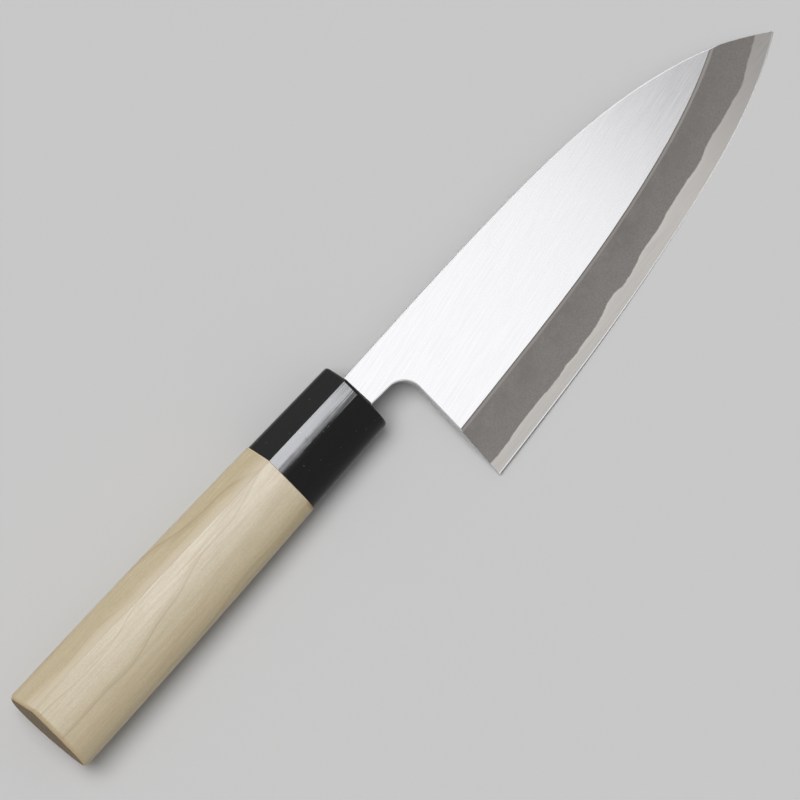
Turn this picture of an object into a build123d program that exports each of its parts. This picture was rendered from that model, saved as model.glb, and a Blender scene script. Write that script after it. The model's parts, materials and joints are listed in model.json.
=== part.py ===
from build123d import *
import os

os.makedirs("parts", exist_ok=True)

# A single-bevel fish knife for the right hand, lying on a table with its ground face up. In the
# knife's own frame the origin is on the handle axis at the shoulder of the blade, +X points to the
# tip, +Y to the spine and +Z out of the ground face. Lengths are in millimetres.

# Blade, seen on its face
blade_length = 150.0  # heel corner to tip
blade_height = 52.3  # spine to heel corner
heel_setback = 11.3  # shoulder to heel corner
heel_lean = 2.4  # how far the heel line leans towards the handle at the heel corner
spine_above_axis = 6.15
neck_height = 11.0
neck_flare = 0.7  # how much the neck widens on its way to the heel line
choil_radius = 6.0

# Blade, through its thickness
spine_thickness = 6.5
tip_thickness = 2.2
edge_land = 0.10  # what the big bevel leaves standing at the edge
edge_flat = 0.02  # what the small bevel leaves of it
edge_bevel_rise = 0.36
edge_bevel_run = 0.60
spine_chamfer = 0.35
hollow_depth = 0.45
weld_start = 3.0  # shoulder to where the hard steel begins

# Tang
tang_length = 92.0
tang_root_width = 8.4
tang_root_thickness = 4.8
tang_end_width = 5.0
tang_end_thickness = 3.2

# Ferrule
shoulder_gap = 0.3  # bare tang between the shoulder and the ferrule
ferrule_length = 32.9
ferrule_front_width = 24.0
ferrule_back_width = 25.8
ferrule_front_wall = 8.0
ferrule_rim_radius = 1.0
slot_clearance = 0.25

# Wooden handle
wood_length = 100.5
wood_front_width = 26.2
wood_middle_width = 28.6
wood_butt_width = 29.8
wood_front_chamfer = 0.2
butt_radius = 1.3
tenon_width = 15.4
tenon_thickness = 11.6
tenon_clearance = 0.10
tenon_end_clearance = 0.60
bore_clearance = 0.5  # room for the bedding on each side of the tang
bore_end_clearance = 4.0

overrun = 5.0  # how far every cutting shape passes what it cuts

# Cutting edge: shares of the blade's length from the heel, of its height below the spine line,
# and of its height again for the width of the big bevel there
edge_shares = [
    (-0.06, 1.014, 0.334),
    (0.00, 1.000, 0.332),
    (0.20, 0.953, 0.324),
    (0.40, 0.892, 0.312),
    (0.60, 0.806, 0.309),
    (0.80, 0.685, 0.326),
    (0.90, 0.593, 0.345),
    (1.00, 0.460, 0.368),
    (1.05, 0.366, 0.380),
]

# Spine: shares of the blade's length from the heel and of its height below the spine line
spine_shares = [
    (0.20, -0.003),
    (0.40, 0.007),
    (0.60, 0.046),
    (0.80, 0.166),
    (0.90, 0.279),
    (1.00, 0.460),
    (1.04, 0.545),
]

# Border between the two steels: shares of the blade's length from the heel and of the thickness
weld_shares = [
    (0.00, 0.245), (0.04, 0.233), (0.10, 0.256), (0.16, 0.257), (0.20, 0.233), (0.24, 0.253),
    (0.28, 0.238), (0.30, 0.251), (0.32, 0.242), (0.36, 0.267), (0.40, 0.327), (0.44, 0.277),
    (0.48, 0.300), (0.52, 0.340), (0.56, 0.317), (0.60, 0.347), (0.67, 0.344), (0.71, 0.316),
    (0.75, 0.354), (0.80, 0.323), (0.84, 0.297), (0.88, 0.262), (0.91, 0.290), (0.95, 0.315),
    (1.05, 0.330),
]

# Hollow of the back: shares of the blade's length from the heel, of its height down to the hollow's
# lower and upper borders, and of the full depth
hollow_shares = [
    (0.045, 0.800, 0.220, 0.10),
    (0.070, 0.880, 0.130, 0.50),
    (0.120, 0.905, 0.095, 0.85),
    (0.250, 0.880, 0.080, 1.00),
    (0.450, 0.812, 0.095, 1.00),
    (0.650, 0.716, 0.145, 0.90),
    (0.800, 0.618, 0.246, 0.70),
    (0.900, 0.520, 0.362, 0.40),
    (0.940, 0.465, 0.420, 0.15),
]

# Chestnut section of the handle: shares of its half width towards the spine and of its half
# thickness upwards. The ridge is the highest point, and lies farther out at the butt. The others
# follow it over the top, round the edge side and back underneath.
thickness_share = 0.80  # thickness for each unit of width
front_ridge_share = 0.475
butt_ridge_share = 0.535
round_shares = [
    (0.02, 0.80),
    (-0.45, 0.56),
    (-0.86, 0.25),
    (-1.00, -0.08),
    (-0.84, -0.44),
    (-0.42, -0.78),
    (0.26, -0.99),
    (0.64, -0.88),
    (0.93, -0.52),
    (1.00, -0.10),
]
facet_share = (0.94, 0.16)

# Where the knife touches the table: under the front of the wood, as shares of its half width and
# half thickness there, and on the cutting edge, as a share of its length from the heel
wood_touch_share = (0.152, -0.985)
edge_touch_share = 0.773

# Places that follow from the sizes
tip_x = heel_setback + blade_length
ferrule_front_x = -shoulder_gap
ferrule_back_x = ferrule_front_x - ferrule_length
butt_x = ferrule_back_x - wood_length
tenon_front_x = ferrule_front_x - ferrule_front_wall - tenon_end_clearance
bore_end_x = -tang_length - bore_end_clearance
heel_y = spine_above_axis - blade_height
neck_y = spine_above_axis - neck_height
back_z = -spine_thickness / 2


def blade_point(length_share, drop_share):
    """Point on the blade's face: along it from the heel corner, and down from the spine line."""
    return heel_setback + length_share * blade_length, spine_above_axis - drop_share * blade_height


def thickness_at(x):
    """Thickness of the blade under its flat, which thins from the shoulder to the tip."""
    return spine_thickness - (spine_thickness - tip_thickness) * x / tip_x


# The table as the knife sees it, touched by the front of the wood and by the cutting edge, and from
# it how the knife lies with the middle of its outline over the origin
cutting_edge = Spline(*[(*blade_point(x, drop), back_z) for x, drop, _ in edge_shares[1:-1]])
edge_touch = cutting_edge @ edge_touch_share
wood_touch = Vector(
    ferrule_back_x - wood_front_chamfer,
    wood_touch_share[0] * wood_front_width / 2,
    wood_touch_share[1] * thickness_share * wood_front_width / 2,
)
table_normal = (cutting_edge % edge_touch_share).cross(wood_touch - edge_touch)
table = Plane(origin=wood_touch, x_dir=(1, 0, 0), z_dir=table_normal)
middle = table.to_local_coords(Vector((butt_x + tip_x) / 2, (wood_butt_width / 2 + heel_y) / 2, 0))
lay = Pos(-middle.X, -middle.Y, 0) * table.location.inverse()


def on_knife(plane):
    """A plane of the knife's own frame, as it is with the knife on the table."""
    return Plane(lay * plane.location)


back_plane = on_knife(Plane.XY.offset(back_z))
flat_plane = on_knife(
    Plane(
        origin=(0, 0, back_z + spine_thickness),
        x_dir=(tip_x, 0, tip_thickness - spine_thickness),
        z_dir=(spine_thickness - tip_thickness, 0, tip_x),
    )
)


def ground_side(setbacks):
    """Face on the spine side of the cutting edge, set back from it at each of its points."""
    line = [
        Vector(*blade_point(x, drop)) + Vector(0, setback)
        for (x, drop, _), setback in zip(edge_shares, setbacks)
    ]
    left = -blade_height
    right = line[-1].X + overrun
    top = spine_above_axis + overrun
    with BuildSketch() as side:
        with BuildLine():
            Line((left, line[0].Y), line[0])
            Spline(*line)
            Polyline(line[-1], (right, line[-1].Y), (right, top), (left, top), (left, line[0].Y))
        make_face()
    return side.sketch


def handle_section(width, ridge_share):
    """Chestnut section of the given width, centred on the handle axis."""
    across = width / 2
    up = thickness_share * width / 2
    ridge = Vector(ridge_share * across, up)
    rounded = [Vector(y * across, z * up) for y, z in round_shares]
    facet = Vector(facet_share[0] * across, facet_share[1] * up)
    with BuildSketch() as section:
        with BuildLine():
            Spline(ridge, *rounded, facet, tangents=(rounded[0] - ridge, ridge - facet))
            Line(facet, ridge)
        make_face()
    return section.sketch


# Blade blank: the outline of the blade, cut from steel that is ground flat and bevelled
choil = Vector(heel_setback + heel_lean, neck_y - neck_flare)
heel = Vector(heel_setback, heel_y)
below_heel = heel + (heel - choil).normalized() * overrun

with BuildPart() as blank:
    with BuildSketch(back_plane.offset(-overrun)):
        # everything under the spine
        with BuildLine():
            spine = Spline((0, spine_above_axis), *[blade_point(x, drop) for x, drop in spine_shares])
            spine_end = spine @ 1
            Polyline(
                spine_end,
                (spine_end.X, below_heel.Y),
                (0, below_heel.Y),
                (0, spine_above_axis),
            )
        make_face()
        # and above the cutting edge
        add(ground_side([0 for _ in edge_shares]), mode=Mode.INTERSECT)
        # less the corner behind the heel and under the neck
        with BuildLine():
            Polyline(
                (0, neck_y),
                choil,
                below_heel,
                (-overrun, below_heel.Y),
                (-overrun, neck_y),
                (0, neck_y),
            )
        make_face(mode=Mode.SUBTRACT)
        fillet(vertices().sort_by_distance(choil)[0], choil_radius)
    extrude(amount=spine_thickness + 2 * overrun)

    # the flat on top, the flat back underneath and the big bevel from one to the other
    with BuildSketch(back_plane):
        slopes = [
            width * blade_height / thickness_at(blade_point(x, drop)[0])
            for x, drop, width in edge_shares
        ]
        add(ground_side([-edge_land * slope for slope in slopes]))
    with BuildSketch(flat_plane):
        add(ground_side([width * blade_height for _, _, width in edge_shares]))
    loft(ruled=True, mode=Mode.INTERSECT)

    # the small bevel along the edge
    bevel_slope = edge_bevel_run / edge_bevel_rise
    bevel_top = spine_thickness + overrun
    with BuildSketch(back_plane):
        add(ground_side([-edge_flat * bevel_slope for _ in edge_shares]))
    with BuildSketch(back_plane.offset(bevel_top)):
        add(ground_side([(bevel_top - edge_flat) * bevel_slope for _ in edge_shares]))
    loft(ruled=True, mode=Mode.INTERSECT)

    # broken corners along the spine, round the neck and down the heel
    flat_face = faces().filter_by(GeomType.PLANE).sort_by(Axis((0, 0, 0), flat_plane.z_dir))[-1]
    big_bevel = faces().filter_by(GeomType.BSPLINE).sort_by(SortBy.AREA)[-1]
    shinogi = big_bevel.edges()
    chamfer([edge for edge in flat_face.edges() if edge not in shinogi], spine_chamfer)

    # the hollow of the back, round in section
    for length_share, low_share, high_share, depth_share in hollow_shares:
        x, low = blade_point(length_share, low_share)
        high = blade_point(length_share, high_share)[1]
        deep = back_z + depth_share * hollow_depth
        with BuildSketch(on_knife(Plane.YZ.offset(x))):
            with BuildLine():
                ThreePointArc((low, back_z), ((low + high) / 2, deep), (high, back_z))
                Polyline(
                    (high, back_z),
                    (high, back_z - overrun),
                    (low, back_z - overrun),
                    (low, back_z),
                )
            make_face()
    loft(mode=Mode.SUBTRACT)

# What lies under the border between the two steels
with BuildPart() as weld_side:
    with BuildSketch(on_knife(Plane.XZ)):
        with BuildLine():
            border = [(weld_start, back_z)]
            for length_share, thick_share in weld_shares:
                x = blade_point(length_share, 0)[0]
                border.append((x, back_z + thick_share * thickness_at(x)))
            Spline(*border)
            Polyline(
                border[-1],
                (border[-1][0], back_z - overrun),
                (weld_start, back_z - overrun),
                (weld_start, back_z),
            )
        make_face()
    extrude(amount=blade_height + overrun, both=True)

# Tang: a plain taper inside the handle
with BuildPart() as tang:
    with BuildSketch(on_knife(Plane.YZ)):
        Rectangle(tang_root_width, tang_root_thickness)
    with BuildSketch(on_knife(Plane.YZ.offset(-tang_length))):
        Rectangle(tang_end_width, tang_end_thickness)
    loft()

# Soft iron: the upper part of the blade, its neck and the tang, forged in one
with BuildPart() as soft_iron_body:
    add(blank.part)
    add(weld_side.part, mode=Mode.SUBTRACT)
    add(tang.part)
soft_iron_body.part.label = "soft_iron_body"
export_step(soft_iron_body.part, "parts/soft_iron_body.step")

# Hard steel: the layer under the iron, which covers the back and makes the cutting edge
with BuildPart() as hard_steel_edge:
    add(blank.part)
    add(weld_side.part, mode=Mode.INTERSECT)
hard_steel_edge.part.label = "hard_steel_edge"
export_step(hard_steel_edge.part, "parts/hard_steel_edge.step")

# Ferrule: a cap with a socket for the wood and a slot for the tang
with BuildPart() as ferrule:
    with BuildSketch(on_knife(Plane.YZ.offset(ferrule_back_x))):
        add(handle_section(ferrule_back_width, front_ridge_share))
    with BuildSketch(on_knife(Plane.YZ.offset(ferrule_front_x))):
        add(handle_section(ferrule_front_width, front_ridge_share))
    loft(ruled=True)
    fillet(faces().sort_by(Axis.X)[-1].edges(), ferrule_rim_radius)
    with BuildSketch(on_knife(Plane.YZ.offset(ferrule_back_x))):
        Ellipse(tenon_width / 2 + tenon_clearance, tenon_thickness / 2 + tenon_clearance)
    extrude(amount=ferrule_length - ferrule_front_wall, mode=Mode.SUBTRACT)
    with BuildSketch(on_knife(Plane.YZ.offset(ferrule_front_x + overrun))):
        Rectangle(tang_root_width + 2 * slot_clearance, tang_root_thickness + 2 * slot_clearance)
    extrude(amount=-ferrule_front_wall - 2 * overrun, mode=Mode.SUBTRACT)
ferrule.part.label = "ferrule"
export_step(ferrule.part, "parts/ferrule.step")

# Bore for the tang in the wood, with room for the bedding round it
with BuildPart() as bore:
    with BuildSketch(on_knife(Plane.YZ.offset(tenon_front_x))):
        Rectangle(tang_root_width + 2 * bore_clearance, tang_root_thickness + 2 * bore_clearance)
    with BuildSketch(on_knife(Plane.YZ.offset(bore_end_x))):
        Rectangle(tang_end_width + 2 * bore_clearance, tang_end_thickness + 2 * bore_clearance)
    loft()

# Wooden handle: chestnut-shaped, wider at the butt, with a tenon in front for the ferrule
with BuildPart() as wooden_handle:
    with BuildSketch(on_knife(Plane.YZ.offset(butt_x))):
        add(handle_section(wood_butt_width, butt_ridge_share))
    with BuildSketch(on_knife(Plane.YZ.offset((butt_x + ferrule_back_x) / 2))):
        add(handle_section(wood_middle_width, (front_ridge_share + butt_ridge_share) / 2))
    with BuildSketch(on_knife(Plane.YZ.offset(ferrule_back_x))):
        add(handle_section(wood_front_width, front_ridge_share))
    loft()
    chamfer(faces().sort_by(Axis.X)[-1].edges(), wood_front_chamfer)
    fillet(faces().sort_by(Axis.X)[0].edges(), butt_radius)
    with BuildSketch(on_knife(Plane.YZ.offset(ferrule_back_x))):
        Ellipse(tenon_width / 2, tenon_thickness / 2)
    extrude(amount=tenon_front_x - ferrule_back_x)
    add(bore.part, mode=Mode.SUBTRACT)
wooden_handle.part.label = "wooden_handle"
export_step(wooden_handle.part, "parts/wooden_handle.step")

# Bedding: what fills the bore round the tang
with BuildPart() as tang_bedding:
    add(bore.part)
    add(tang.part, mode=Mode.SUBTRACT)
tang_bedding.part.label = "tang_bedding"
export_step(tang_bedding.part, "parts/tang_bedding.step")
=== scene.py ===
import json
from math import radians

import bmesh
import bpy
from mathutils import Matrix, Vector

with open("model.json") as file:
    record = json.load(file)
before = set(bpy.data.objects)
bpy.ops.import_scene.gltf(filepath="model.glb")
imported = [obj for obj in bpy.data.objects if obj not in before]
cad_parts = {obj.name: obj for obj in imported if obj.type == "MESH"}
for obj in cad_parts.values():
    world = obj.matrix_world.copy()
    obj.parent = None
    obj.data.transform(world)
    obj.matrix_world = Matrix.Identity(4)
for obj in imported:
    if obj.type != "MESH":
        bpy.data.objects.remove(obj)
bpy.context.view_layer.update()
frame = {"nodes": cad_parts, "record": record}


# Soft iron body: the upper layer of the blade, with its neck and tang, forged in one from mild
# iron. Its flat is ground on a belt to a bright satin, and the iron side of the big bevel is rubbed
# dull and grey on natural stone. Spine, neck and heel are left as the belt cut them.
FLAT_SATIN = (0.825, 0.825, 0.84)
FLAT_SATIN_HIGH = (0.905, 0.905, 0.925)
STONED_IRON = (0.281, 0.262, 0.249)
STONED_IRON_CLOUD = (0.326, 0.305, 0.288)
STONED_STEEL = (0.83, 0.797, 0.763)
BELT_GROUND = (0.60, 0.60, 0.59)
TANG_SCALE = (0.05, 0.045, 0.04)  # the dark skin of the forged tang, inside the handle
HANDLE_REACH = 0.1337  # butt to the shoulder of the blade, in metres
HEEL_SETBACK = 11.3  # shoulder to heel, in millimetres like every size in the knife's own frame
BLADE_LENGTH = 150.0
SPINE_THICKNESS = 6.5
TIP_THICKNESS = 2.2
BORDER_HEIGHTS = [  # border between iron and steel: shares of the blade's length and thickness
    (0.00, 0.245), (0.04, 0.233), (0.10, 0.256), (0.16, 0.257), (0.20, 0.233), (0.24, 0.253),
    (0.28, 0.238), (0.30, 0.251), (0.32, 0.242), (0.36, 0.267), (0.40, 0.327), (0.44, 0.277),
    (0.48, 0.300), (0.52, 0.340), (0.56, 0.317), (0.60, 0.347), (0.67, 0.344), (0.71, 0.316),
    (0.75, 0.354), (0.80, 0.323), (0.84, 0.297), (0.88, 0.262), (0.91, 0.290), (0.95, 0.315),
    (1.00, 0.322),
]

# the knife's own frame starts at the shoulder and runs to the tip, to the spine and out of the face
MILLIMETRE = 0.001
mounts = {mount["name"]: mount for mount in frame["record"]["mounts"]}
toward_tip = -Vector(mounts["butt_end"]["axis"])
out_of_face = -Vector(mounts["back_rim"]["axis"])
toward_spine = out_of_face.cross(toward_tip)
off_the_flat = Vector(mounts["ground_flat"]["axis"])
shoulder = Vector(mounts["butt_end"]["pos_m"]) + toward_tip * HANDLE_REACH
knife_turn = Matrix((toward_tip, toward_spine, out_of_face)).transposed().to_euler()


def toned(color, by):
    """A colour made lighter or darker."""
    return tuple(by * channel for channel in color)


def node(tree, kind, values=None, **settings):
    """A shader node, with its settings, and with a value or a link for each input given."""
    made = tree.nodes.new("ShaderNode" + kind)
    for name, value in settings.items():
        setattr(made, name, value)
    for socket, value in (values or {}).items():
        if isinstance(value, bpy.types.NodeSocket):
            tree.links.new(value, made.inputs[socket])
        else:
            made.inputs[socket].default_value = value
    return made


def calc(tree, operation, *values, clamp=False):
    """The result of a Math node, or of a row of them for more than two values."""
    inputs = dict(enumerate(values[:2]))
    result = node(tree, "Math", inputs, operation=operation, use_clamp=clamp).outputs[0]
    return calc(tree, operation, result, *values[2:], clamp=clamp) if values[2:] else result


def dot(tree, first, second):
    """How far one vector goes along another."""
    return node(tree, "VectorMath", {0: first, 1: second}, operation="DOT_PRODUCT").outputs["Value"]


def ramp(tree, value, start, end, low=0.0, high=1.0):
    """A value that goes smoothly from low to high as another passes from start to end."""
    values = {0: value, 1: start, 2: end, 3: low, 4: high}
    return node(tree, "MapRange", values, interpolation_type="SMOOTHSTEP").outputs[0]


def blended(tree, share, first, second):
    """One number turning into another."""
    return node(tree, "Mix", {0: share, 2: first, 3: second}).outputs[0]


def mixed(tree, share, first, second):
    """One colour turning into another."""
    colors = [(*c, 1.0) if isinstance(c, tuple) else c for c in (first, second)]
    return node(tree, "Mix", {0: share, 6: colors[0], 7: colors[1]}, data_type="RGBA").outputs[2]


def noise(tree, place, scale, detail=2.0, roughness=0.5, stretch=(1.0, 1.0, 1.0)):
    """Noise from 0 to 1 that may be stretched."""
    place = node(tree, "Mapping", {"Vector": place, "Scale": stretch}).outputs[0]
    values = {"Vector": place, "Scale": scale, "Detail": detail, "Roughness": roughness}
    return node(tree, "TexNoise", values).outputs[0]


def group(name, inputs, outputs):
    """An empty node group: its tree, its input sockets by name and its output node."""
    tree = bpy.data.node_groups.new(name, "ShaderNodeTree")
    for label, kind in inputs.items():
        tree.interface.new_socket(label, in_out="INPUT", socket_type="NodeSocket" + kind)
    for label, kind in outputs.items():
        tree.interface.new_socket(label, in_out="OUTPUT", socket_type="NodeSocket" + kind)
    start = tree.nodes.new("NodeGroupInput")
    return tree, start.outputs, tree.nodes.new("NodeGroupOutput")


def finish_material(name):
    """A new material, its tree, its shader, and the knife's own coordinates in millimetres."""
    material = bpy.data.materials.new(name)
    material.use_nodes = True
    tree = material.node_tree
    values = {
        "Vector": node(tree, "TexCoord").outputs["Object"],
        "Location": shoulder,
        "Rotation": knife_turn,
        "Scale": (MILLIMETRE,) * 3,
    }
    place = node(tree, "Mapping", values, vector_type="TEXTURE").outputs[0]
    return material, tree, tree.nodes["Principled BSDF"], place


def facing(tree, direction):
    """How squarely the surface faces a direction: the cosine between the two."""
    return dot(tree, node(tree, "NewGeometry").outputs["True Normal"], direction)


# what grinding leaves on both steels: fine scratches, all one way, among broader ones
FINE_SCRATCHES = (0.07, 4.5, 4.5)  # to the millimetre: along, across and through
BROAD_SCRATCHES = (0.02, 1.6, 1.6)
BROAD_SHARE = 0.4
scratches, given, out = group(
    "grinding scratches", {"Place": "Vector", "Turn": "Float"}, {"Height": "Float"}
)
values = {"Vector": given["Place"], "Angle": given["Turn"]}
turned = node(scratches, "VectorRotate", values, rotation_type="Z_AXIS").outputs[0]
fine = noise(scratches, turned, 1.0, roughness=0.6, stretch=FINE_SCRATCHES)
broad = noise(scratches, turned, 1.0, stretch=BROAD_SCRATCHES)
scratches.links.new(blended(scratches, BROAD_SHARE, fine, broad), out.inputs["Height"])

# the finish of the blade all over: a height on it is a share of the blade's thickness there, up
# from the back, and a place along it is a share of the length from heel to tip
BEVEL_SCRATCH_TURN = radians(-3)
FLAT_SCRATCH_TURN = radians(-9)
NOISE_MIDDLE = (0.35, 0.65)  # between these lies most of any noise
blade_finish, given, out = group(
    "blade finish",
    {"Place": "Vector", "Flat": "Float", "Back": "Float"},
    {"Color": "Color", "Roughness": "Float", "Height": "Float"},
)
tree, place = blade_finish, given["Place"]
x, _, z = node(tree, "SeparateXYZ", {"Vector": place}).outputs
along = calc(tree, "DIVIDE", calc(tree, "SUBTRACT", x, HEEL_SETBACK), BLADE_LENGTH, clamp=True)
taper = (SPINE_THICKNESS - TIP_THICKNESS) / (HEEL_SETBACK + BLADE_LENGTH)
thickness = calc(tree, "SUBTRACT", SPINE_THICKNESS, calc(tree, "MULTIPLY", x, taper))
height = calc(tree, "DIVIDE", calc(tree, "ADD", z, SPINE_THICKNESS / 2), thickness)
values = {"Place": place, "Turn": BEVEL_SCRATCH_TURN}
bevel_lines = node(tree, "Group", values, node_tree=scratches).outputs["Height"]
values = {"Place": place, "Turn": FLAT_SCRATCH_TURN}
flat_lines = node(tree, "Group", values, node_tree=scratches).outputs["Height"]

# the wavy border where the iron was forged to the steel
BORDER_WANDER = 0.05
BORDER_WIDTH = (-0.012, 0.014)
border = node(tree, "FloatCurve", {"Value": along})
curve = border.mapping.curves[0]
curve.points[0].location = BORDER_HEIGHTS[0]
curve.points[1].location = BORDER_HEIGHTS[-1]
for point in BORDER_HEIGHTS[1:-1]:
    curve.points.new(*point)
border.mapping.update()
cloud = noise(tree, place, 0.35, detail=4.0, roughness=0.6)
wander = calc(tree, "MULTIPLY", calc(tree, "SUBTRACT", cloud, 0.5), BORDER_WANDER)
over_border = calc(tree, "SUBTRACT", calc(tree, "ADD", height, wander), border.outputs[0])
on_iron = ramp(tree, over_border, *BORDER_WIDTH)

# the iron of the bevel is mottled and gritty, and paler low down and toward the tip
MOTTLE_TONE = 0.93
LOW_TONE = 1.16
GRIT_TONE = 0.86
LOW_IRON = (0.8, 0.35)
mottle = ramp(tree, noise(tree, place, 0.12, detail=6.0, roughness=0.72), 0.32, 0.68)
grit = ramp(tree, noise(tree, place, 2.2, roughness=0.6), *NOISE_MIDDLE, high=0.60)
iron_color = mixed(tree, mottle, toned(STONED_IRON, MOTTLE_TONE), STONED_IRON_CLOUD)
iron_color = mixed(tree, ramp(tree, height, *LOW_IRON), iron_color, toned(STONED_IRON, LOW_TONE))
iron_color = mixed(tree, ramp(tree, along, 0.6, 1.0, high=0.5), iron_color, STONED_IRON_CLOUD)
iron_color = mixed(tree, grit, iron_color, toned(STONED_IRON, GRIT_TONE))

# at the top of the bevel the stone has rubbed a band pale, under a thin line along the flat
RUB_FOOT = (0.925, 0.945)
RUB_TOP = (0.985, 0.97)
LINE_FOOT = (0.975, 0.99)
RUB_HEEL_TONE, RUB_TIP_TONE = 1.38, 1.62
LINE_HEEL_TONE, LINE_TIP_TONE = 0.72, 1.15
rubbed = calc(tree, "MULTIPLY", ramp(tree, height, *RUB_FOOT), ramp(tree, height, *RUB_TOP))
tones = toned(STONED_IRON, RUB_HEEL_TONE), toned(STONED_IRON, RUB_TIP_TONE)
rub_color = mixed(tree, ramp(tree, along, 0.5, 0.9), *tones)
tones = toned(STONED_IRON, LINE_HEEL_TONE), toned(STONED_IRON, LINE_TIP_TONE)
line_color = mixed(tree, ramp(tree, along, 0.6, 0.9), *tones)
iron_color = mixed(tree, rubbed, iron_color, rub_color)
iron_color = mixed(tree, ramp(tree, height, *LINE_FOOT), iron_color, line_color)

# the steel of the bevel is brightest right under the border and streaked, and a painted shade
# darkens it toward the tip
STEEL_LOW_TONE = 0.93
STEEL_TIP_PAINTED_SHADE = 0.62
STEEL_STREAK_TONE = 0.78
BRIGHT_STEEL = (-0.10, 0.0)
glow = ramp(tree, over_border, *BRIGHT_STEEL)
streaks = ramp(tree, bevel_lines, *NOISE_MIDDLE, high=0.5)
steel_color = mixed(tree, glow, toned(STONED_STEEL, STEEL_LOW_TONE), STONED_STEEL)
# painted shade: the steel's colour falls off toward the tip
steel_color = mixed(
    tree, ramp(tree, along, 0.60, 1.0), steel_color, toned(STONED_STEEL, STEEL_TIP_PAINTED_SHADE)
)
steel_color = mixed(tree, streaks, steel_color, toned(STONED_STEEL, STEEL_STREAK_TONE))

# how squarely a face looks the way the flat does, or the back, tells which of them it is
ON_FLAT = (0.9972, 0.9985)
ON_BEVEL = (0.86, 0.90)
ON_CHAMFER = (0.50, 0.60)
ON_BACK = (0.90, 0.93)
IN_HANDLE = (0.05, -0.05)  # along the knife, at the shoulder
on_flat = ramp(tree, given["Flat"], *ON_FLAT)
brushed = mixed(tree, ramp(tree, flat_lines, 0.30, 0.70), FLAT_SATIN, FLAT_SATIN_HIGH)
bevel_color = mixed(tree, on_iron, steel_color, iron_color)
color = mixed(tree, ramp(tree, given["Flat"], *ON_CHAMFER), BELT_GROUND, FLAT_SATIN)
color = mixed(tree, ramp(tree, given["Flat"], *ON_BEVEL), color, bevel_color)
color = mixed(tree, on_flat, color, brushed)
color = mixed(tree, ramp(tree, given["Back"], *ON_BACK), color, BELT_GROUND)
color = mixed(tree, ramp(tree, x, *IN_HANDLE), color, TANG_SCALE)
tree.links.new(color, out.inputs["Color"])

# the flat is the smoothest, and the scratches change the gloss a little
STEEL_ROUGHNESS = 0.34
IRON_ROUGHNESS = 0.50
FLAT_ROUGHNESS = 0.20
SCRATCH_ROUGHNESS = 0.12
BEVEL_SCRATCH_HEIGHT = 0.4  # as a share of the flat's
rough = blended(tree, on_iron, STEEL_ROUGHNESS, IRON_ROUGHNESS)
rough = blended(tree, on_flat, rough, FLAT_ROUGHNESS)
uneven = calc(tree, "MULTIPLY", calc(tree, "SUBTRACT", flat_lines, 0.5), SCRATCH_ROUGHNESS)
tree.links.new(calc(tree, "ADD", rough, uneven), out.inputs["Roughness"])
bevel_height = calc(tree, "MULTIPLY", bevel_lines, BEVEL_SCRATCH_HEIGHT)
tree.links.new(blended(tree, on_flat, bevel_height, flat_lines), out.inputs["Height"])


SCRATCH_STRENGTH = 0.19
SCRATCH_DEPTH = 0.02 * MILLIMETRE


def dress_blade(piece, name):
    """Gives a layer of the blade its finish."""
    material, tree, shader, place = finish_material(name)
    flat, back = facing(tree, off_the_flat), facing(tree, -out_of_face)
    values = {"Place": place, "Flat": flat, "Back": back}
    finish = node(tree, "Group", values, node_tree=blade_finish).outputs
    values = {
        "Strength": SCRATCH_STRENGTH,
        "Distance": SCRATCH_DEPTH,
        "Height": finish["Height"],
    }
    bump = node(tree, "Bump", values).outputs[0]
    shader.inputs["Metallic"].default_value = 1.0
    tree.links.new(finish["Color"], shader.inputs["Base Color"])
    tree.links.new(finish["Roughness"], shader.inputs["Roughness"])
    tree.links.new(bump, shader.inputs["Normal"])
    piece.material_slots[0].material = material


dress_blade(frame["nodes"]["soft_iron_body"], "soft iron")


# Hard steel edge: the lower layer of the blade, carbon steel forge-welded under the iron. It makes
# the cutting edge and the whole back, which is ground hollow inside a flat rim.
dress_blade(frame["nodes"]["hard_steel_edge"], "hard steel")


# Tang bedding: what fills the burnt-in bore round the tang and holds it there. It is hidden in the
# finished knife.
BEDDING_BROWN = (0.10, 0.065, 0.035)
BEDDING_SPECK = (0.16, 0.11, 0.06)
material, tree, shader, place = finish_material("bedding resin")
speck = noise(tree, place, 1.4, detail=3.0)
tree.links.new(mixed(tree, speck, BEDDING_BROWN, BEDDING_SPECK), shader.inputs["Base Color"])
shader.inputs["Roughness"].default_value = 0.6
frame["nodes"]["tang_bedding"].material_slots[0].material = material


# Wooden handle: a chestnut-shaped grip of plain magnolia, planed and sanded along the grain and
# left unsealed. The tang is burnt into it, and a tenon in front carries the ferrule.
WOOD_PALE = (0.62, 0.53, 0.358)
WOOD_LINE = (0.44, 0.34, 0.20)
WOOD_END_AND_SHADE = (0.29, 0.225, 0.15)
WOOD_RIM = (0.55, 0.42, 0.25)
WOOD_FRONT_HIGHLIGHT = (0.80, 0.65, 0.40)
WOOD_SCORCHED = (0.30, 0.15, 0.06)
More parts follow.
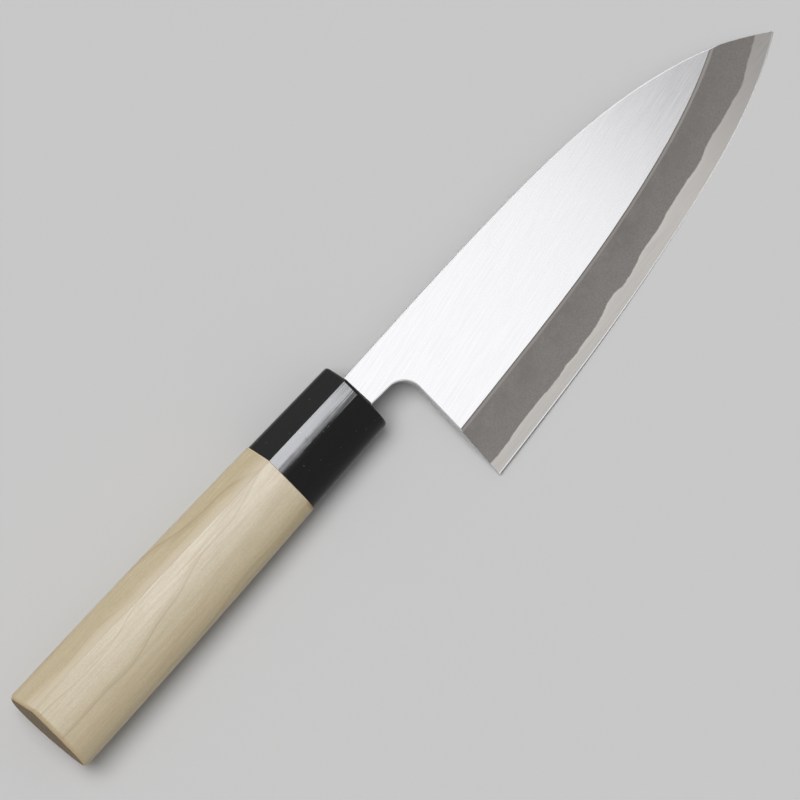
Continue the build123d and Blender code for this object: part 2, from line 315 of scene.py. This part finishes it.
# the colour of a painted sheen along the top past the ridge
WOOD_PAINTED_SHEEN = (0.73, 0.65, 0.53)
FRONT_X = -33.2  # where the wood meets the ferrule
RING_CROSSING = (-0.0735, 0.35, 1.0)  # how fast a line along, across or up crosses the rings
RING_WIDTH = 6.5
RING_BOW = 26.0
RING_RIPPLE = 2.2
RING_SHIFT = -6.2
GROWTH_SCALE = 0.16
GROWTH_UNEVEN = 1.1  # in years
LINE_SHARPNESS = 14.0
RIDGE_Y = 5.64  # on a level with the shoulder of the blade
RIDGE_SLOPE = -0.0174
RIDGE_ROUND = 3.5
RIDGE_WAVE = 0.5
RIDGE_LEAN = 0.36  # how far the mean of the two faces' normals leans to the spine
FIBRE_DEPTH = 0.0075 * MILLIMETRE
material, tree, shader, place = finish_material("magnolia wood")
x, y, z = node(tree, "SeparateXYZ", {"Vector": place}).outputs
butt_facing = facing(tree, -toward_tip)

# year rings, cut at a shallow angle: each grows darker and ends at a fine line
bow = calc(tree, "MULTIPLY", noise(tree, place, 0.012), RING_BOW)
ripple = calc(tree, "MULTIPLY", noise(tree, place, 0.09, stretch=(0.25, 1.0, 1.0)), RING_RIPPLE)
ring = calc(tree, "ADD", dot(tree, place, RING_CROSSING), bow, ripple, RING_SHIFT)
values = {"W": calc(tree, "MULTIPLY", ring, GROWTH_SCALE)}
growth = node(tree, "TexNoise", values, noise_dimensions="1D").outputs[0]
growth = calc(tree, "MULTIPLY", growth, GROWTH_UNEVEN)
phase = calc(tree, "FRACT", calc(tree, "ADD", calc(tree, "DIVIDE", ring, RING_WIDTH), growth))
ring_shade = calc(tree, "POWER", phase, 2.0)
ring_line = calc(tree, "POWER", phase, LINE_SHARPNESS)
ring_line = calc(tree, "MULTIPLY", ring_line, ramp(tree, phase, 1.0, 0.98))
late = calc(tree, "ADD", ring_line, calc(tree, "MULTIPLY", ring_shade, 0.2))

# the planed sides: fibre, broad streaks, pores and speckle along the grain
fibre = noise(tree, place, 1.0, detail=4.0, roughness=0.6, stretch=(0.05, 3.0, 3.0))
streak = noise(tree, place, 1.0, stretch=(0.012, 0.55, 0.55))
pores = noise(tree, place, 1.0, roughness=0.6, stretch=(0.5, 4.0, 4.0))
speckle = noise(tree, place, 2.2, roughness=0.6, stretch=(0.5, 1.0, 1.0))
color = WOOD_PALE
for share in (
    calc(tree, "MULTIPLY", late, 0.8),
    ramp(tree, fibre, 0.35, 0.70, high=0.30),
    ramp(tree, streak, 0.40, 0.75, high=0.30),
    ramp(tree, pores, 0.52, 0.70, high=0.22),
    ramp(tree, speckle, *NOISE_MIDDLE, high=0.24),
):
    color = mixed(tree, share, color, WOOD_LINE)

# the sawn butt shows the same rings on end inside a worn rim, and is darker, partly as end grain
# and partly by painted shade
END_TONE = 0.55
ON_RIM = (0.25, 0.60)
ON_END = (0.93, 0.985)
flecks = ramp(tree, noise(tree, place, 0.8, detail=3.0), 0.35, 0.7, high=0.5)
end_rings = calc(tree, "MULTIPLY", ring_shade, ramp(tree, phase, 1.0, 0.9), 0.6)
end_grain = calc(tree, "ADD", end_rings, flecks)
# painted shade: the end's colour is darker than its end grain alone
end_and_shade_color = mixed(tree, end_grain, WOOD_END_AND_SHADE, toned(WOOD_END_AND_SHADE, END_TONE))
rim_wear = ramp(tree, noise(tree, place, 0.5), 0.25, 0.60, low=0.5)
rim = calc(tree, "MULTIPLY", ramp(tree, butt_facing, *ON_RIM), rim_wear)
color = mixed(tree, rim, color, WOOD_RIM)
color = mixed(tree, ramp(tree, butt_facing, *ON_END), color, end_and_shade_color)

# a painted highlight lies along the wood's rounded edge at the ferrule, and the wood is scorched
# there on the side of the cutting edge
FRONT_HIGHLIGHT_REACH = (FRONT_X - 0.45, FRONT_X - 0.15)
SCORCH_REACH = (FRONT_X - 1.6, FRONT_X)
SCORCH_SIDE = (-9.5, -12.0)
front_highlight = ramp(tree, x, *FRONT_HIGHLIGHT_REACH, high=0.6)
scorched = ramp(tree, x, *SCORCH_REACH)
scorched = calc(tree, "MULTIPLY", scorched, ramp(tree, y, *SCORCH_SIDE), 0.75)
# painted highlight: a pale golden line along the front edge of the wood
color = mixed(tree, front_highlight, color, WOOD_FRONT_HIGHLIGHT)
color = mixed(tree, scorched, color, WOOD_SCORCHED)

# the ridge is sanded round, a little unevenly: past it the normal is the mean of both faces', and a
# pale painted sheen lies on the wood there, but not round the butt
ridge_y = calc(tree, "ADD", calc(tree, "MULTIPLY", x, RIDGE_SLOPE), RIDGE_Y)
past = calc(tree, "SUBTRACT", y, ridge_y)
wave = noise(tree, place, 1.0, roughness=0.55, stretch=(0.04, 0.02, 0.02))
past_wave = calc(tree, "ADD", past, ramp(tree, wave, 0.3, 0.7, -RIDGE_WAVE, RIDGE_WAVE))
ridge_round_and_sheen = calc(
    tree,
    "MULTIPLY",
    ramp(tree, past, -0.3, 0.0),
    ramp(tree, past_wave, RIDGE_ROUND, 0.3),
    ramp(tree, z, 2.0, 6.0),
    ramp(tree, butt_facing, 0.3, 0.1),
)
# painted highlight: a pale sheen colour along the top of the handle past the ridge
color = mixed(tree, calc(tree, "MULTIPLY", ridge_round_and_sheen, 0.6), color, WOOD_PAINTED_SHEEN)
tree.links.new(color, shader.inputs["Base Color"])
ridge_normal = (out_of_face + RIDGE_LEAN * toward_spine).normalized()
normals = {0: ridge_round_and_sheen, 4: node(tree, "NewGeometry").outputs["Normal"], 5: ridge_normal}
soft_normal = node(tree, "Mix", normals, data_type="VECTOR").outputs[1]

# a soft sheen on the sides, none on the end
SIDE_ROUGHNESS = (0.28, 0.36)
END_ROUGHNESS = 1.0
rough = ramp(tree, fibre, 0.3, 0.7, *SIDE_ROUGHNESS)
rough = blended(tree, ramp(tree, butt_facing, 0.5, 0.95), rough, END_ROUGHNESS)
tree.links.new(rough, shader.inputs["Roughness"])
shader.inputs["Specular IOR Level"].default_value = 0.25
values = {"Strength": 1.0, "Distance": FIBRE_DEPTH, "Height": fibre, "Normal": soft_normal}
tree.links.new(node(tree, "Bump", values).outputs[0], shader.inputs["Normal"])
frame["nodes"]["wooden_handle"].material_slots[0].material = material


# Ferrule: a cap of black buffalo horn, socketed over the tenon on the front of the wood. Its rim is
# rounded and its faces are buffed to a mirror gloss.
HORN_BLACK = (0.003, 0.003, 0.003)
HORN_HAZE = (0.006, 0.006, 0.006)
HORN_SPECK = (0.30, 0.30, 0.28)
HORN_ROUGHNESS = (0.05, 0.09)
CROWN_TOP = 5.9  # where the ridge is
CROWN = 0.0036
HAZE_RELIEF = 0.006
BUFF_RELIEF = 0.016
material, tree, shader, place = finish_material("black horn")
x, y, _ = node(tree, "SeparateXYZ", {"Vector": place}).outputs
haze = noise(tree, place, 1.0, stretch=(0.008, 1.8, 1.8))
speck = ramp(tree, noise(tree, place, 1.1, detail=1.0), 0.735, 0.78, high=0.25)
color = mixed(tree, haze, HORN_BLACK, HORN_HAZE)
tree.links.new(mixed(tree, speck, color, HORN_SPECK), shader.inputs["Base Color"])
tree.links.new(ramp(tree, haze, 0.3, 0.7, *HORN_ROUGHNESS), shader.inputs["Roughness"])
shader.inputs["Specular IOR Level"].default_value = 0.24

# the face falls off from the ridge in a slight crown, and lines from the buffing wheel show on it
# near the blade
beyond = calc(tree, "MAXIMUM", calc(tree, "SUBTRACT", CROWN_TOP, y), 0.0)
crown = calc(tree, "MULTIPLY", calc(tree, "POWER", beyond, 2.0), -CROWN)
buffing = noise(tree, place, 1.0, detail=1.0, stretch=(0.006, 1.1, 1.1))
buffing = calc(tree, "MULTIPLY", buffing, ramp(tree, x, -20.0, -2.0, high=BUFF_RELIEF))
relief = calc(tree, "ADD", crown, calc(tree, "MULTIPLY", haze, HAZE_RELIEF), buffing)
values = {"Strength": 1.0, "Distance": MILLIMETRE, "Height": relief}
tree.links.new(node(tree, "Bump", values).outputs[0], shader.inputs["Normal"])
frame["nodes"]["ferrule"].material_slots[0].material = material


# Floor: a plain pale matte table for the knife to lie on, wide enough to fill every view. It is no
# part of the knife.
FLOOR_PALE = (0.62, 0.62, 0.62)
FLOOR_REACH = 30.0
floor_mesh = bpy.data.meshes.new("floor")
floor = bpy.data.objects.new("floor", floor_mesh)
bpy.context.collection.objects.link(floor)
bm = bmesh.new()
bmesh.ops.create_grid(bm, x_segments=1, y_segments=1, size=FLOOR_REACH)
bm.to_mesh(floor_mesh)
bm.free()
material = bpy.data.materials.new("pale floor")
material.use_nodes = True
shader = material.node_tree.nodes["Principled BSDF"]
shader.inputs["Base Color"].default_value = (*FLOOR_PALE, 1.0)
shader.inputs["Roughness"].default_value = 0.9
shader.inputs["Specular IOR Level"].default_value = 0.0
floor_mesh.materials.append(material)


# Light: a wide soft sun a little behind the spine for the table and the wood, and softboxes that
# the gloss of steel and horn shows.
STUDIO_WALL = (0.60, 0.60, 0.60)
STUDIO_CEILING = (0.46, 0.46, 0.46)
STUDIO_FILL = (0.30, 0.30, 0.30)
world = bpy.data.worlds.new("studio")
bpy.context.scene.world = world
world.use_nodes = True
tree = world.node_tree
rays = node(tree, "LightPath").outputs
seen = [rays[f"Is {kind} Ray"] for kind in ("Camera", "Glossy", "Transmission")]
seen = calc(tree, "ADD", *seen, clamp=True)
toward = node(tree, "TexCoord").outputs["Generated"]
upward = node(tree, "SeparateXYZ", {"Vector": toward}).outputs["Z"]
studio = mixed(tree, ramp(tree, upward, 0.60, 0.95), STUDIO_WALL, STUDIO_CEILING)
studio = mixed(tree, seen, STUDIO_FILL, studio)
tree.links.new(studio, tree.nodes["Background"].inputs["Color"])


def lamp(name, kind, place, aim, energy, **settings):
    """A lamp at a place, turned to what it lights."""
    data = bpy.data.lights.new(name, kind)
    data.energy = energy
    for label, value in settings.items():
        setattr(data, label, value)
    made = bpy.data.objects.new(name, data)
    made.location = place
    made.rotation_euler = (Vector(aim) - Vector(place)).to_track_quat("-Z", "Y").to_euler()
    bpy.context.collection.objects.link(made)
    return made


sun = lamp(
    "soft sun", "SUN", place=(-0.12, 0.34, 1.0), aim=(0, 0, 0), energy=2.1, angle=radians(40)
)
sun.visible_glossy = False
overhead = lamp(
    "overhead softbox", "AREA", place=(-0.118, -0.05, 0.5), aim=(-0.118, -0.05, 0.0), energy=0.82,
    shape="RECTANGLE", size=0.665, size_y=0.60,
)
overhead.visible_diffuse = False

# softboxes that stand on the cutting edge's side, each for one piece of the handle
SOFTBOX_TOP = 0.80
SOFTBOX_TINT = (0.955, 0.965, 1.0)
for name, piece, y, left, right, low, energy in (
    ("ferrule softbox", "ferrule", -0.58, -0.495, 0.255, 0.489, 7.6),
    ("ferrule softbox core", "ferrule", -0.56, -0.495, 0.127, 0.517, 10.2),
    ("wood softbox", "wooden_handle", -0.58, 0.0, 0.5, 0.575, 17.5),
):
    across, middle = (left + right) / 2, (low + SOFTBOX_TOP) / 2
    box = lamp(
        name, "AREA", (across, y, middle), aim=(across, y + 1.0, middle), energy=energy,
        shape="RECTANGLE", size=right - left, size_y=SOFTBOX_TOP - low,
    )
    box.visible_diffuse = False
    box.data.color = SOFTBOX_TINT
    box.light_linking.receiver_collection = bpy.data.collections.new(name)
    box.light_linking.receiver_collection.objects.link(frame["nodes"][piece])

# long low strips on the spine's side and on the cutting edge's side, for the blade alone
STRIP_LENGTH = 2.4
STRIP_HEIGHT = 0.5
STRIP_MIDDLE_X = 0.05
blade_layers = bpy.data.collections.new("blade layers")
for name in ("soft_iron_body", "hard_steel_edge"):
    blade_layers.objects.link(frame["nodes"][name])
for name, y, middle, energy in (("back strip", 1.6, 0.25, 6.0), ("front strip", -1.6, 0.45, 2.8)):
    strip = lamp(
        name, "AREA", (STRIP_MIDDLE_X, y, middle), aim=(STRIP_MIDDLE_X, 0.0, middle), energy=energy,
        shape="RECTANGLE", size=STRIP_LENGTH, size_y=STRIP_HEIGHT,
    )
    strip.visible_diffuse = False
    strip.light_linking.receiver_collection = blade_layers


# Camera: far off with a very long lens, nearly square to the table. Its place and lens were solved
# from points on the knife's outline.
CAMERA_AIM = Vector((-0.0069, 0.0053, 0.010))
CAMERA_DISTANCE = 6.0
CAMERA_ROLL = -0.8374
FOCAL_LENGTH = 20707.7  # in pixels of the photograph
PHOTO_WIDTH = 800
camera_lean = Vector((-0.1077, -0.0604, 1.0)).normalized()
rightward = Vector((0, 1, 0)).cross(camera_lean).normalized()
upward = camera_lean.cross(rightward)
camera_turn = Matrix((rightward, upward, camera_lean)).transposed().to_4x4()
lens = bpy.data.cameras.new("photo camera")
lens.sensor_width = 36.0
lens.lens = FOCAL_LENGTH * lens.sensor_width / PHOTO_WIDTH
lens.clip_start = 0.1
lens.clip_end = 100.0
camera = bpy.data.objects.new("photo camera", lens)
camera.matrix_world = (
    Matrix.Translation(CAMERA_AIM + camera_lean * CAMERA_DISTANCE)
    @ camera_turn
    @ Matrix.Rotation(CAMERA_ROLL, 4, "Z")
)
bpy.context.collection.objects.link(camera)
bpy.context.scene.camera = camera
bpy.context.scene.view_settings.view_transform = "Standard"
